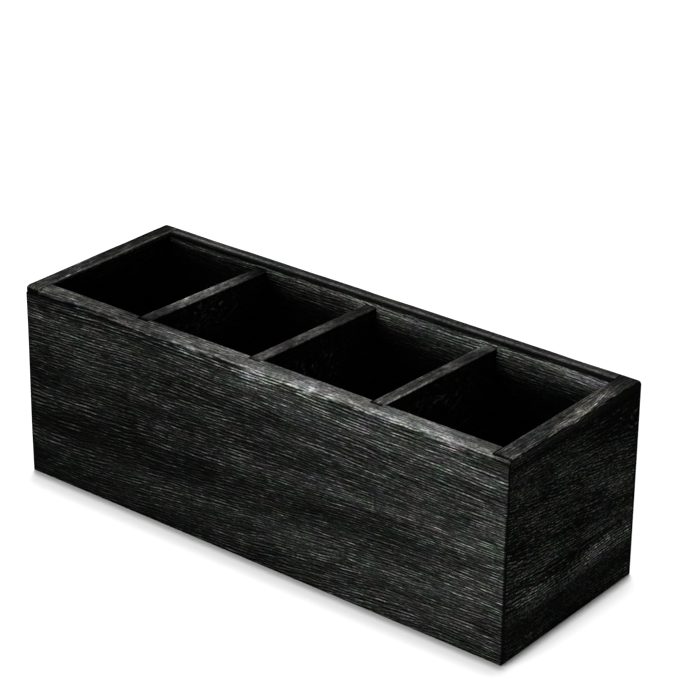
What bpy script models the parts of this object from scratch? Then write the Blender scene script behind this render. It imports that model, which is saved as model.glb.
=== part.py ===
"""Open-topped four-compartment organizer made of black-stained solid wood boards.

Two long panels carry thin lips that cover the ends of the end panels.  Three
thinner cross boards stand in shallow upright grooves, and a thin bottom board
lies flush in a rabbet cut round the lower inner edges.  Brads driven from
below hold the bottom board to the walls and to the cross boards.

Frame: +X along the length, the front long panel on the -Y side, +Z up, origin
at the centre of the underside.  Metres.
"""

import math

import bmesh
import bpy

MM = 0.001

# Overall size.
LENGTH = 282.0 * MM
DEPTH = 101.0 * MM
HEIGHT = 99.0 * MM

# Board stock.
WALL = 9.5 * MM  # long panels and end panels
DIVIDER = 6.5 * MM  # cross boards
BOTTOM = 6.5 * MM
GAP = 0.3 * MM  # between touching boards

# Corner joint: the long panels' lips in front of the end panels' ends.
LIP = 1.5 * MM
CHIP_LENGTH = 8.6 * MM  # worn lip at the front left top corner
CHIP_DROP = 2.7 * MM

# Grooves and rabbets.
GROOVE = 2.8 * MM  # depth of the upright grooves for the cross boards
RABBET = 5.0 * MM  # depth of the rabbet for the bottom board

# Cross boards: centre measured from the outer left face, and how far the front
# end stops short of the bottom of its groove.
DIVIDERS = (
    ("left_divider", 70.0 * MM, 1.6 * MM),
    ("middle_divider", 137.6 * MM, 0.6 * MM),
    ("right_divider", 207.0 * MM, 1.1 * MM),
)
DIVIDER_DROP_FRONT = 0.1 * MM  # top edge below the rim, at the front panel
DIVIDER_DROP_BACK = 3.2 * MM  # the same at the back panel
BACK_GROOVE_TOP = HEIGHT - DIVIDER_DROP_BACK + 0.45 * MM  # the back panel's grooves stop here

# Rounded and eased edges.
ROUND_LONG = 3.0 * MM  # outer top edge of the long panels
ROUND_END = 1.0 * MM  # outer top edge of the end panels
EASE_RIM = 1.0 * MM  # inner top edges
EASE_CORNER = 0.4 * MM  # outer upright corners
EASE_BASE = 0.6 * MM  # outer lower edges
EASE_BASE_END = 0.6 * MM
EASE_DIVIDER = 0.6 * MM
BEVEL_SEGMENTS = 4

# Brads.
BRAD_LENGTH = 16.0 * MM
BRAD_RADIUS = 0.6 * MM
BRAD_HEAD_RADIUS = 1.1 * MM
BRAD_HEAD = 0.7 * MM
BRAD_TIP = 1.6 * MM
BRAD_SET = 0.5 * MM  # heads sit this far above the underside
BRAD_SIDES = 12
BRAD_INSET = 2.5 * MM  # from a wall's inner face, into the wall
BRAD_DIVIDER_Y = 26.0 * MM
BRAD_END_Y = 24.0 * MM

X0, X1 = -LENGTH / 2, LENGTH / 2
Y0, Y1 = -DEPTH / 2, DEPTH / 2
CUT = 2.0 * MM  # how far a cutter runs past the face that it opens


def clear_scene():
    for ob in list(bpy.data.objects):
        bpy.data.objects.remove(ob, do_unlink=True)


def new_collection(name):
    col = bpy.data.collections.new(name)
    bpy.context.scene.collection.children.link(col)
    return col


def new_material(name, colour, roughness, metallic):
    mat = bpy.data.materials.new(name)
    mat.use_nodes = True
    bsdf = mat.node_tree.nodes["Principled BSDF"]
    bsdf.inputs["Base Color"].default_value = (*colour, 1.0)
    bsdf.inputs["Roughness"].default_value = roughness
    bsdf.inputs["Metallic"].default_value = metallic
    mat.diffuse_color = (*colour, 1.0)
    mat.roughness = roughness
    mat.metallic = metallic
    return mat


def sign(value):
    return 1 if value > 0 else -1


def edge_key(edge):
    """(direction, side, side) of a box's edge: the sides are those of the other two axes in order."""
    a, b = edge.verts[0].co, edge.verts[1].co
    mid, run = (a + b) / 2, b - a
    axis = max(range(3), key=lambda i: abs(run[i]))
    others = [i for i in range(3) if i != axis]
    return ("xyz"[axis], sign(mid[others[0]]), sign(mid[others[1]]))


def box_mesh(name, size, rounds=None, tilt=None):
    """A box about its own centre. rounds gives the radius of each edge; tilt moves the top's front and back ends down."""
    mesh = bpy.data.meshes.new(name)
    bm = bmesh.new()
    bmesh.ops.create_cube(bm, size=1.0)
    for v in bm.verts:
        v.co.x *= size[0]
        v.co.y *= size[1]
        v.co.z *= size[2]
    if rounds:
        layer = bm.edges.layers.float.new("bevel_weight_edge")
        widest = max(rounds.values())
        for e in bm.edges:
            e[layer] = rounds.get(edge_key(e), 0.0) / widest
    if tilt:
        for v in bm.verts:
            if v.co.z > 0:
                v.co.z -= tilt[0] if v.co.y < 0 else tilt[1]
    bm.to_mesh(mesh)
    bm.free()
    return mesh


def board(name, low, high, material, rounds=None, tilt=None):
    """One board between two corners, with its rounded edges as a Bevel modifier."""
    size = [high[i] - low[i] for i in range(3)]
    ob = bpy.data.objects.new(name, box_mesh(name, size, rounds, tilt))
    ob.location = [(low[i] + high[i]) / 2 for i in range(3)]
    ob.data.materials.append(material)
    PARTS.objects.link(ob)
    ob.parent = ROOT
    if rounds:
        bev = ob.modifiers.new("rounded_edges", "BEVEL")
        bev.limit_method = "WEIGHT"
        bev.width = max(rounds.values())
        bev.segments = BEVEL_SEGMENTS
        bev.use_clamp_overlap = True
    return ob


def cutter(ob):
    ob.hide_render = True
    ob.display_type = "WIRE"
    CUTTERS.objects.link(ob)
    return ob


def box_cutter(name, low, high):
    size = [high[i] - low[i] for i in range(3)]
    ob = bpy.data.objects.new(name, box_mesh(name, size))
    ob.location = [(low[i] + high[i]) / 2 for i in range(3)]
    return cutter(ob)


def cut(ob, tool):
    mod = ob.modifiers.new("cut_" + tool.name, "BOOLEAN")
    mod.operation = "DIFFERENCE"
    mod.solver = "EXACT"
    mod.object = tool


def turned_mesh(name, profile):
    """A profile of (radius, height) points, top to bottom, for the Screw modifier."""
    mesh = bpy.data.meshes.new(name)
    bm = bmesh.new()
    verts = [bm.verts.new((r, 0.0, z)) for r, z in profile]
    for a, b in zip(verts, verts[1:]):
        bm.edges.new((a, b))
    bm.to_mesh(mesh)
    bm.free()
    return mesh


def turn(ob, sides):
    mod = ob.modifiers.new("turned", "SCREW")
    mod.axis = "Z"
    mod.angle = 2 * math.pi
    mod.screw_offset = 0.0
    mod.steps = sides
    mod.render_steps = sides
    mod.use_merge_vertices = True
    mod.merge_threshold = 0.00001
    mod.use_smooth_shade = False


def mirrored_y(ob_name, low, high):
    """The same two corners on the other side of the XZ plane."""
    return ob_name, (low[0], -high[1], low[2]), (high[0], -low[1], high[2])


clear_scene()
PARTS = new_collection("cutlery_organizer")
CUTTERS = new_collection("cutters")
ROOT = bpy.data.objects.new("organizer_root", None)
PARTS.objects.link(ROOT)

black_wood = new_material("black_stained_wood", (0.022, 0.024, 0.023), 0.62, 0.0)
bottom_wood = new_material("black_stained_bottom", (0.016, 0.017, 0.017), 0.7, 0.0)
divider_wood = new_material("black_stained_divider", (0.03, 0.031, 0.03), 0.6, 0.0)
steel = new_material("brad_steel", (0.45, 0.45, 0.44), 0.38, 1.0)

# Long panels. Keys are (edge direction, side, side); -1 is left, front or low.
front_rounds = {
    ("x", -1, 1): ROUND_LONG,
    ("x", 1, 1): EASE_RIM,
    ("x", -1, -1): EASE_BASE,
    ("y", -1, 1): ROUND_END,
    ("y", 1, 1): ROUND_END,
    ("y", -1, -1): EASE_BASE_END,
    ("y", 1, -1): EASE_BASE_END,
    ("z", -1, -1): EASE_CORNER,
    ("z", 1, -1): EASE_CORNER,
}
back_rounds = {
    (axis, a if axis != "x" else -a, b if axis != "z" else -b): r
    for (axis, a, b), r in front_rounds.items()
}
front_panel = board(
    "front_panel", (X0, Y0, 0), (X1, Y0 + WALL, HEIGHT), black_wood, front_rounds
)
back_panel = board(
    "back_panel", (X0, Y1 - WALL, 0), (X1, Y1, HEIGHT), black_wood, back_rounds
)

# End panels, between the lips of the long panels.
left_rounds = {
    ("y", -1, 1): ROUND_END,
    ("y", 1, 1): EASE_RIM,
    ("y", -1, -1): EASE_BASE_END,
}
right_rounds = {("y", -a, b): r for (_, a, b), r in left_rounds.items()}
END_Y = DEPTH / 2 - LIP - GAP
left_end = board(
    "left_end_panel",
    (X0, -END_Y, 0),
    (X0 + WALL, END_Y, HEIGHT),
    black_wood,
    left_rounds,
)
right_end = board(
    "right_end_panel",
    (X1 - WALL, -END_Y, 0),
    (X1, END_Y, HEIGHT),
    black_wood,
    right_rounds,
)

# Bottom board, flush with the underside.
BOTTOM_X = LENGTH / 2 - WALL + RABBET - GAP
BOTTOM_Y = DEPTH / 2 - WALL + RABBET - GAP
bottom_panel = board(
    "bottom_panel",
    (-BOTTOM_X, -BOTTOM_Y, 0),
    (BOTTOM_X, BOTTOM_Y, BOTTOM),
    bottom_wood,
)

# Cross boards, standing on the bottom board with their ends in the grooves.
GROOVE_Y = DEPTH / 2 - WALL + GROOVE
dividers = []
for name, centre, short in DIVIDERS:
    x = X0 + centre
    rounds = {("y", -1, 1): EASE_DIVIDER, ("y", 1, 1): EASE_DIVIDER}
    ob = board(
        name,
        (x - DIVIDER / 2, -GROOVE_Y + short, BOTTOM + GAP),
        (x + DIVIDER / 2, GROOVE_Y - GAP, HEIGHT),
        divider_wood,
        rounds,
        (DIVIDER_DROP_FRONT, DIVIDER_DROP_BACK),
    )
    dividers.append((ob, x))

# Corner rabbets that leave the lips, at both ends of both long panels.
for side, x_low, x_high in (
    ("left", X0 - CUT, X0 + WALL + GAP),
    ("right", X1 - WALL - GAP, X1 + CUT),
):
    low = (x_low, Y0 + LIP, -CUT)
    high = (x_high, Y0 + WALL + CUT, HEIGHT + CUT)
    cut(front_panel, box_cutter("front_rabbet_" + side, low, high))
    cut(back_panel, box_cutter(*mirrored_y("back_rabbet_" + side, low, high)))

# Worn lip at the front left top corner.
cut(
    front_panel,
    box_cutter(
        "worn_lip",
        (X0 - CUT, Y0 - CUT, HEIGHT - CHIP_DROP),
        (X0 + CHIP_LENGTH, Y0 + LIP + GAP, HEIGHT + CUT),
    ),
)

# Upright grooves for the cross boards: open at the top in the front panel,
# stopped below the rim in the back panel.
for ob, x in dividers:
    low = (x - DIVIDER / 2 - GAP, Y0 + WALL - GROOVE, BOTTOM)
    high = (x + DIVIDER / 2 + GAP, Y0 + WALL + CUT, HEIGHT + CUT)
    stopped = (high[0], high[1], BACK_GROOVE_TOP)
    cut(front_panel, box_cutter("front_groove_" + ob.name, low, high))
    cut(back_panel, box_cutter(*mirrored_y("back_groove_" + ob.name, low, stopped)))

# Rabbets for the bottom board: through on the long panels, stopped on the end panels.
low = (X0 - CUT, Y0 + WALL - RABBET, -CUT)
high = (X1 + CUT, Y0 + WALL + CUT, BOTTOM + GAP)
cut(front_panel, box_cutter("front_bottom_rabbet", low, high))
cut(back_panel, box_cutter(*mirrored_y("back_bottom_rabbet", low, high)))
STOP = BOTTOM_Y + GAP
cut(
    left_end,
    box_cutter(
        "left_bottom_rabbet",
        (X0 + WALL - RABBET, -STOP, -CUT),
        (X0 + WALL + CUT, STOP, BOTTOM + GAP),
    ),
)
cut(
    right_end,
    box_cutter(
        "right_bottom_rabbet",
        (X1 - WALL - CUT, -STOP, -CUT),
        (X1 - WALL + RABBET, STOP, BOTTOM + GAP),
    ),
)

# Brads: (name, board that it is driven into, x, y).
walls = [X0 + WALL] + [x for _, x in dividers] + [X1 - WALL]
bays = [(a + b) / 2 for a, b in zip(walls, walls[1:])]
wall_y = DEPTH / 2 - WALL + BRAD_INSET
wall_x = LENGTH / 2 - WALL + BRAD_INSET
driven = []
for i, x in enumerate(bays, 1):
    driven.append(("brad_front_%d" % i, front_panel, x, -wall_y))
    driven.append(("brad_back_%d" % i, back_panel, x, wall_y))
for i, y in enumerate((-BRAD_END_Y, BRAD_END_Y), 1):
    driven.append(("brad_left_end_%d" % i, left_end, -wall_x, y))
    driven.append(("brad_right_end_%d" % i, right_end, wall_x, y))
for ob, x in dividers:
    for i, y in enumerate((-BRAD_DIVIDER_Y, BRAD_DIVIDER_Y), 1):
        driven.append(("brad_%s_%d" % (ob.name, i), ob, x, y))

brad_mesh = turned_mesh(
    "brad",
    (
        (0.0, BRAD_LENGTH),
        (BRAD_RADIUS, BRAD_LENGTH - BRAD_TIP),
        (BRAD_RADIUS, BRAD_HEAD),
        (BRAD_HEAD_RADIUS, BRAD_HEAD),
        (BRAD_HEAD_RADIUS, 0.2 * MM),
        (BRAD_HEAD_RADIUS - 0.2 * MM, 0.0),
        (0.0, 0.0),
    ),
)
brad_mesh.materials.append(steel)
hole_mesh = turned_mesh(
    "brad_hole",
    (
        (0.0, BRAD_LENGTH + GAP),
        (BRAD_RADIUS + GAP, BRAD_LENGTH + GAP),
        (BRAD_RADIUS + GAP, BRAD_HEAD + GAP),
        (BRAD_HEAD_RADIUS + GAP, BRAD_HEAD + GAP),
        (BRAD_HEAD_RADIUS + GAP, -BRAD_SET - CUT),
        (0.0, -BRAD_SET - CUT),
    ),
)
for name, held, x, y in driven:
    brad = bpy.data.objects.new(name, brad_mesh)
    brad.location = (x, y, BRAD_SET)
    brad.parent = ROOT
    PARTS.objects.link(brad)
    turn(brad, BRAD_SIDES)
    hole = bpy.data.objects.new("hole_" + name, hole_mesh)
    hole.location = (x, y, BRAD_SET)
    turn(hole, BRAD_SIDES)
    cutter(hole)
    cut(bottom_panel, hole)
    cut(held, hole)
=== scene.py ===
import math

import bpy
import numpy as np
from mathutils import Matrix, Vector


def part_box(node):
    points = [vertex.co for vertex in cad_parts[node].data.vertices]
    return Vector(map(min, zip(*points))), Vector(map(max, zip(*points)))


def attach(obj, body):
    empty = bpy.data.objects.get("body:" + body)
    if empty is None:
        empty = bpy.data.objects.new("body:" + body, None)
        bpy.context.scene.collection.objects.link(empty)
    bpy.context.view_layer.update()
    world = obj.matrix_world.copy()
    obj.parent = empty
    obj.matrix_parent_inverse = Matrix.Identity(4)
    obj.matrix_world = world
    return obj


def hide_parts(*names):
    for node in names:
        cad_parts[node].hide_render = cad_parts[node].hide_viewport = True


# The looks of a black-stained, wire-brushed wooden organizer: every board is a
# dense mesh with its grain as real relief, its rim and edges rounded and worn.
# Lengths in this file are millimetres until they go into a mesh.

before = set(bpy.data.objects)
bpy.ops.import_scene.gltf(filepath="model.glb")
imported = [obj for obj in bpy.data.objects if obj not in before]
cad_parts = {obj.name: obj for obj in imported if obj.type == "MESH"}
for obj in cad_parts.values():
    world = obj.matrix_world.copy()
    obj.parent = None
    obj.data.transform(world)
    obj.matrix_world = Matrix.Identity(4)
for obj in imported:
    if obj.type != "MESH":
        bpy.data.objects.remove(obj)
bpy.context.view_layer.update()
MM = 0.001

# ---------------------------------------------------------------------------
# Sizes, as model.glb has them
# ---------------------------------------------------------------------------


def box_mm(node):
    low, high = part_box(node)
    return np.array(low) / MM, np.array(high) / MM


front_low, front_high = box_mm("front_panel")
left_low, left_high = box_mm("left_end_panel")
bottom_low, bottom_high = box_mm("bottom_panel")
X0, X1 = front_low[0], front_high[0]
Y0 = front_low[1]
Y1 = -Y0
HEIGHT = front_high[2]
WALL = front_high[1] - front_low[1]
GAP = 0.3
SEAM = 0.12  # how close the glued faces look
LIP = left_low[1] - Y0 - SEAM
GROOVE = 2.8
DROP_FRONT, DROP_BACK = 0.1, 3.2  # of the cross boards' tops, below the rim
GROOVE_TOP = HEIGHT - DROP_BACK + 0.45  # in the back panel
RABBET = 5.0
SHELF = bottom_high[2] + GAP  # underside of the rabbet
SHOULDER = X1 - WALL - SEAM  # where the lips begin
ROUND_LONG, ROUND_END = 3.0, 1.0
EASE_BASE, EASE_CORNER = 0.6, 0.4
DIVIDERS = ("left_divider", "middle_divider", "right_divider")

# ---------------------------------------------------------------------------
# Noise, seeded
# ---------------------------------------------------------------------------


class Field:
    """Periodic noise of unit spread over (along, across), alike over a given reach each way. With a pitch it makes lines: (cycles per mm, spread)."""

    def __init__(self, seed, along, across, reach, pitch=None):
        rng = np.random.default_rng(seed)
        if pitch:
            fine = 0.25 / (pitch[0] + 2.5 * pitch[1])
        else:
            fine = max(0.12, reach[1] / 3.5)
        step = (max(0.4, reach[0] / 4), fine)
        n = (max(8, int(along / step[0])), max(8, int(across / step[1])))
        self.size = (along, across)
        self.n = n
        f = np.fft.rfft2(rng.standard_normal(n))
        k0 = np.fft.fftfreq(n[0])[:, None] * n[0] / along
        k1 = np.fft.rfftfreq(n[1])[None, :] * n[1] / across
        f *= np.exp(-2 * math.pi**2 * (k0 * reach[0]) ** 2)
        if pitch:
            f *= np.exp(-0.5 * ((k1 - pitch[0]) / pitch[1]) ** 2)
        else:
            f *= np.exp(-2 * math.pi**2 * (k1 * reach[1]) ** 2)
        v = np.fft.irfft2(f, n)
        self.v = ((v - v.mean()) / v.std()).astype(np.float32)

    def __call__(self, a, s):
        p = np.mod(a / self.size[0], 1.0) * self.n[0]
        q = np.mod(s / self.size[1], 1.0) * self.n[1]
        i, j = np.floor(p).astype(int), np.floor(q).astype(int)
        fp, fq = p - i, q - j
        i, j = i % self.n[0], j % self.n[1]
        k, m = (i + 1) % self.n[0], (j + 1) % self.n[1]
        v = self.v
        return (v[i, j] * (1 - fp) + v[k, j] * fp) * (1 - fq) + (
            v[i, m] * (1 - fp) + v[k, m] * fp
        ) * fq


def smooth(low, high, x):
    t = np.clip((x - low) / (high - low), 0.0, 1.0)
    return t * t * (3 - 2 * t)


class Grain:
    """The figure of one board: brushed fibres that follow its growth lines."""

    # pitch in cycles per mm, its spread, reach along in mm, strength
    LINES = (
        (0.26, 0.09, 7.0, 0.24),
        (0.50, 0.12, 4.0, 0.62),
        (0.70, 0.11, 2.2, 1.30),
        (0.96, 0.16, 1.4, 1.50),
        (0.68, 0.20, 17.0, 0.90),
    )

    def __init__(
        self, seed, along, across, wave=1.0, drift=None, comb=None, stretch=1.0
    ):
        along, across = along + 23.0, across + 17.0
        self.lines = []
        for i, (pitch, spread, reach, strength) in enumerate(self.LINES):
            if i < len(self.LINES) - 1:
                reach = reach * stretch
            field = Field(seed + i, along, across, (reach, 0), (pitch, spread))
            self.lines.append((field, strength))
        self.wide = Field(seed + 10, along, across, (34.0, 9.0))
        self.bend = Field(seed + 11, along, across, (9.0, 3.5))
        self.soft = Field(seed + 12, along, across, (9.0, 2.6))
        self.cloud = Field(seed + 13, along, across, (24.0, 7.0))
        self.band = Field(seed + 14, along, across, (45.0, 1.5))
        self.mottle = Field(seed + 15, along, across, (1.3, 0.55))
        self.wave = wave
        self.drift = drift or (lambda a, s: 0.0 * a)
        # How much stronger the longest lines are, over s
        self.comb = comb or (lambda s: 1.0)

    def __call__(self, a, s):
        """Streak value of unit spread, and the slower changes of tone."""
        w = s + self.drift(a, s)
        w = w + self.wave * (0.9 * self.wide(a, s) + 0.22 * self.bend(a, s))
        strong = [k for _, k in self.lines]
        strong[-1] = strong[-1] * self.comb(s)
        streak = sum(k * f(a, w) for (f, _), k in zip(self.lines, strong))
        streak = streak / np.sqrt(sum(k * k for k in strong))
        return streak, self.soft(a, w), self.cloud(a, w), self.band(a, w)


# ---------------------------------------------------------------------------
# Profiles: closed outlines across a board, as (d, z), where d is the depth in
# from the outer face
# ---------------------------------------------------------------------------

OUTER, ROUND, RIM, EASE, INNER, CUTS, BASE = range(7)


class Profile:
    def __init__(self):
        self.p, self.n, self.seg = [], [], []

    def line(self, a, b, step, seg, normal, last=False):
        length = math.dist(a, b)
        n = max(1, round(length / step))
        for i in range(n + (1 if last else 0)):
            t = i / n
            self.p.append((a[0] + (b[0] - a[0]) * t, a[1] + (b[1] - a[1]) * t))
            self.n.append(normal)
            self.seg.append(seg)

    def grade(self, a, b, steps, seg, normal):
        """A line whose spacing changes from steps[0] to steps[1]."""
        length = math.dist(a, b)
        n = max(2, round(length / ((steps[0] + steps[1]) / 2)))
        w = np.linspace(steps[0], steps[1], n)
        t = np.concatenate(([0], np.cumsum(w)))[:-1] / w.sum()
        for u in t:
            self.p.append((a[0] + (b[0] - a[0]) * u, a[1] + (b[1] - a[1]) * u))
            self.n.append(normal)
            self.seg.append(seg)

    def arc(self, centre, radius, start, end, steps, seg):
        """Degrees, measured from the -d direction towards +z."""
        for i in range(steps):
            a = math.radians(start + (end - start) * i / steps)
            n = (-math.cos(a), math.sin(a))
            self.p.append((centre[0] + radius * n[0], centre[1] + radius * n[1]))
            self.n.append(n)
            self.seg.append(seg)

    def done(self):
        self.p = np.array(self.p)
        self.n = np.array(self.n)
        self.seg = np.array(self.seg)
        after = np.roll(self.p, -1, axis=0)
        step = np.linalg.norm(after - self.p, axis=1)
        self.s = np.concatenate(([0], np.cumsum(step)))
        self.length = self.s[-1]
        return self


def wall_profile(
    thick, rounding, fine, arc_steps, stop=None, near=(0.4, 0.6), inner=1.0
):
    """A wall board: up the outer face, over the rim and down the inner face. stop is the height at which its grooves end; inner is the rounding of the inner edge."""
    p = Profile()
    h, e, b = HEIGHT, inner, EASE_BASE
    p.line((0, b), (0, h - rounding), fine, OUTER, (-1, 0))
    p.arc((rounding, h - rounding), rounding, 0, 90, arc_steps, ROUND)
    p.line((rounding, h), (thick - e, h), 0.34, RIM, (0, 1))
    p.arc((thick - e, h - e), e, 90, 180, 4, EASE)
    top = h - e
    if stop:
        p.line((thick, top), (thick, stop), near[0], INNER, (1, 0))
        p.line((thick, stop), (thick, stop - 0.3), 0.3, INNER, (1, 0))
        top = stop - 0.3
    p.grade((thick, top), (thick, h - 30), near, INNER, (1, 0))
    p.grade((thick, h - 30), (thick, SHELF), (0.9, 2.4), INNER, (1, 0))
    p.line((thick, SHELF), (thick - RABBET, SHELF), 1.3, CUTS, (0, 0))
    p.line((thick - RABBET, SHELF), (thick - RABBET, 0), 1.7, CUTS, (0, 0))
    p.line((thick - RABBET, 0), (b, 0), 1.3, BASE, (0, -1))
    p.arc((b, b), b, -90, 0, 3, BASE)
    return p.done()


def divider_profile(thick, low, high, fine):
    p = Profile()
    e = 0.6
    p.grade((0, low), (0, high - 34), (1.6, 0.8), OUTER, (-1, 0))
    p.line((0, high - 34), (0, high - e), fine, OUTER, (-1, 0))
    p.arc((e, high - e), e, 0, 90, 5, ROUND)
    p.line((e, high), (thick - e, high), 0.3, RIM, (0, 1))
    p.arc((thick - e, high - e), e, 90, 180, 5, EASE)
    p.line((thick, high - e), (thick, high - 34), fine, INNER, (1, 0))
    p.grade((thick, high - 34), (thick, low), (0.8, 1.6), INNER, (1, 0))
    p.line((thick, low), (0, low), 1.3, CUTS, (0, 0))
    return p.done()


# ---------------------------------------------------------------------------
# Boards: a profile carried along the length of the board
# ---------------------------------------------------------------------------


class Board:
    """Stations are (t, kind). shape(kind, t, points, free) moves the profile's points at a station; it marks the points that it puts on a cut wall in free."""

    def __init__(self, name, profile, stations, shape, place):
        self.name, self.profile, self.place = name, profile, place
        self.t = np.array([t for t, _ in stations])
        self.kind = [k for _, k in stations]
        n, k = len(stations), len(profile.p)
        self.points = np.empty((n, k, 2))
        self.relief = np.empty((n, k), bool)
        flat = profile.seg == CUTS
        for i, (t, kind) in enumerate(stations):
            pts = profile.p.copy()
            cut = flat.copy()
            self.points[i] = shape(kind, t, pts, cut)
            self.relief[i] = ~cut
        self.a = np.broadcast_to(self.t[:, None], (n, k))
        self.s = np.broadcast_to(profile.s[:-1][None, :], (n, k))
        self.seg = np.broadcast_to(profile.seg[None, :], (n, k))

    def carve(self, depth):
        """Moves the surface in by depth (n, k), where it isn't a cut wall."""
        d = np.where(self.relief, depth, 0.0)
        self.points -= self.profile.n[None] * d[..., None]

    def build(self, attributes, cap_material=1):
        n, k = self.points.shape[:2]
        index = np.arange(n * k).reshape(n, k)
        same = np.zeros((n, k), bool)
        for i in range(1, n):
            if self.t[i] == self.t[i - 1]:
                gone = np.abs(self.points[i] - self.points[i - 1]).max(axis=1) < 1e-7
                same[i] = gone
                index[i, gone] = index[i - 1, gone]
        used = ~same.ravel()
        new = np.cumsum(used) - 1
        index = new[index]
        t = self.a.ravel()[used]
        d = self.points[..., 0].ravel()[used]
        z = self.points[..., 1].ravel()[used]
        co = self.place(t, d, z) * MM

        # Faces between neighbouring stations
        k2 = np.roll(np.arange(k), -1)
        quads = np.stack(
            (index[:-1], index[1:], index[1:][:, k2], index[:-1][:, k2]), axis=-1
        ).reshape(-1, 4)
        u = [0.0]
        for i in range(1, n):
            step = abs(self.t[i] - self.t[i - 1])
            if step < 1e-9:
                step = 0.35 * np.linalg.norm(
                    self.points[i] - self.points[i - 1], axis=1
                ).max()
            u.append(u[-1] + step)
        u = np.array(u) / u[-1] * 0.992 + 0.004
        weight = np.select(
            [
                self.profile.seg == OUTER,
                self.profile.seg == ROUND,
                self.profile.seg == RIM,
                self.profile.seg == EASE,
                self.profile.seg == INNER,
            ],
            [1.5, 2.2, 2.0, 1.6, 0.9],
            0.5,
        )
        v = np.concatenate(([0], np.cumsum(np.diff(self.profile.s) * weight)))
        v = v / v[-1] * 0.925 + 0.004
        ii, kk = np.meshgrid(np.arange(n - 1), np.arange(k), indexing="ij")
        quad_uv = np.stack(
            (
                np.stack((u[ii], v[kk]), -1),
                np.stack((u[ii + 1], v[kk]), -1),
                np.stack((u[ii + 1], v[kk + 1]), -1),
                np.stack((u[ii], v[kk + 1]), -1),
            ),
            axis=2,
        ).reshape(-1, 4, 2)
        cut_face = ~(self.relief[:-1] | self.relief[1:]).reshape(-1)
        step_face = np.repeat(np.diff(self.t) < 1e-9, k)
        mat = np.where(cut_face | step_face, cap_material, 0)

        faces, uvs, mats = [], [], []
        repeat = np.stack([quads[:, j] == quads[:, (j + 1) % 4] for j in range(4)], 1)
        whole = ~repeat.any(axis=1)
        faces.extend(quads[whole].tolist())
        uvs.extend(quad_uv[whole].reshape(-1, 2).tolist())
        mats.extend(mat[whole].tolist())
        for q in np.nonzero(~whole)[0]:
            keep = [j for j in range(4) if quads[q, j] != quads[q, (j + 1) % 4]]
            ring = [int(quads[q, j]) for j in keep]
            if len(set(ring)) < 3 or len(set(ring)) != len(ring):
                continue
            faces.append(ring)
            uvs.extend(quad_uv[q, keep].tolist())
            mats.append(int(mat[q]))

        # The two ends
        for which, i in enumerate((0, n - 1)):
            ring = index[i].tolist()
            flat = self.points[i].copy()
            low, high = flat.min(axis=0), flat.max(axis=0)
            scale = min(0.056 / max(high[0] - low[0], 1e-6), 0.49 / (high[1] - low[1]))
            at = (flat - low) * scale
            at = np.stack(
                (0.004 + which * 0.5 + at[:, 1], 0.938 + at[:, 0]), axis=-1
            ).tolist()
            if which == 0:
                ring, at = ring[::-1], at[::-1]
            faces.append(ring)
            uvs.extend(at)
            mats.append(cap_material)

        sign = self._sign(co, faces[: len(quads[whole])])
        counts = np.array([len(f) for f in faces])
        corners = np.fromiter((v for f in faces for v in f), int, counts.sum())
        uvs = np.array(uvs)
        if sign < 0:
            first = np.concatenate(([0], np.cumsum(counts)[:-1]))
            order = np.arange(len(corners))
            for c in np.unique(counts):
                rows = first[counts == c][:, None] + np.arange(c)[None, :]
                order[rows] = rows[:, ::-1]
            corners, uvs = corners[order], uvs[order]

        me = bpy.data.meshes.new(self.name)
        me.vertices.add(len(co))
        me.vertices.foreach_set("co", co.astype(np.float32).ravel())
        me.loops.add(len(corners))
        me.loops.foreach_set("vertex_index", corners.astype(np.int32))
        me.polygons.add(len(counts))
        start = np.concatenate(([0], np.cumsum(counts)[:-1])).astype(np.int32)
        me.polygons.foreach_set("loop_start", start)
        me.polygons.foreach_set("material_index", np.array(mats, np.int32))
        me.update(calc_edges=True)
        layer = me.uv_layers.new(name="OFBake")
        layer.uv.foreach_set("vector", uvs.astype(np.float32).ravel())
        for key, value in attributes.items():
            at = me.attributes.new(key, "FLOAT", "POINT")
            at.data.foreach_set("value", value.ravel()[used].astype(np.float32))
        me.shade_smooth()
        me.set_sharp_from_angle(angle=math.radians(62))
        if me.validate(verbose=False):
            print("mesh was corrected:", self.name)
        ob = bpy.data.objects.new(self.name, me)
        bpy.context.scene.collection.objects.link(ob)
        return ob

    @staticmethod
    def _sign(co, faces):
        """Which way the faces point: the sign of the enclosed volume."""
        f = np.array(faces[: len(faces)])
        a, b, c, d = (co[f[:, j]] for j in range(4))
        return np.sign(
            (np.cross(b - a, c - a) * a).sum() + (np.cross(c - a, d - a) * a).sum()
        )


def spread_stations(low, high, step, marks=(), ends=()):
    """Even stations between low and high that also pass through marks, without slivers."""
    t = list(np.linspace(low, high, max(2, round((high - low) / step) + 1)))
    marks = sorted(marks)
    t = [x for x in t if all(abs(x - m) > step * 0.35 for m in marks)]
    t = [x for x in t if low <= x <= high]
    return sorted(set(t) | set(marks) | set(ends))


def end_steps(end, inward):
    """Closely set stations over the last rounding of a board's end."""
    return [end + inward * x for x in (0.0, 0.04, 0.13, 0.28, 0.5, 0.8, 1.2, 1.7, 2.3)]


def end_inset(t, half, radius):
    """How far a rounding of that radius draws an edge in, near the end of a board."""
    x = abs(t) - (half - radius)
    if x <= 0:
        return 0.0
    return radius - math.sqrt(max(0.0, radius * radius - x * x))


# Long panels -----------------------------------------------------------------

divider_mid = {n: (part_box(n)[0][0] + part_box(n)[1][0]) / 2 / MM for n in DIVIDERS}
divider_half = (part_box(DIVIDERS[0])[1][0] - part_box(DIVIDERS[0])[0][0]) / 2 / MM
SLOT = divider_half + SEAM
HALF = X1
CHIP_TO = X0 + 8.6  # the lip is worn down from the left end to here
CHIP_DROP = 2.7


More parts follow.
